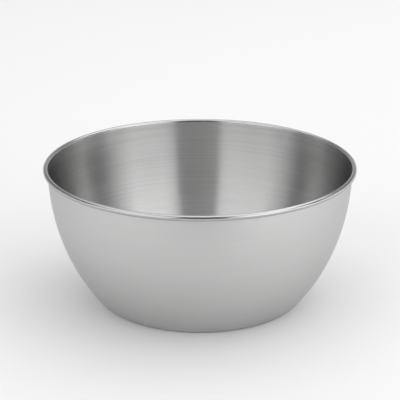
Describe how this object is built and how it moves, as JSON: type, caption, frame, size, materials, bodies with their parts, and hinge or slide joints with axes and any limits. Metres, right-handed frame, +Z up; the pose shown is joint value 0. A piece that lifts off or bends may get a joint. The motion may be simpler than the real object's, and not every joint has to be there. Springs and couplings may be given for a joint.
{
  "type": "salad bowl",
  "caption": "Round satin stainless-steel salad bowl with a flat base, a rounded wall that widens to an upright mouth, and a narrow rim rolled outwards round a wire.",
  "frame": {"origin": "on the surface that the bowl stands on, under the middle of its base", "axes": "+Z up along the bowl's axis of revolution, out of its mouth; the bowl is round, so +X and +Y only complete the frame, and -Y faces the picture's camera"},
  "size_m": [0.24, 0.24, 0.107],
  "materials": {
    "satin_steel": "satin, brushed round the bowl, with a brighter polished rim",
    "wire_steel": "drawn wire"
  },
  "bodies": {
    "root": {"bowl_shell": "satin_steel", "rim_wire": "wire_steel"}
  },
  "joints": []
}
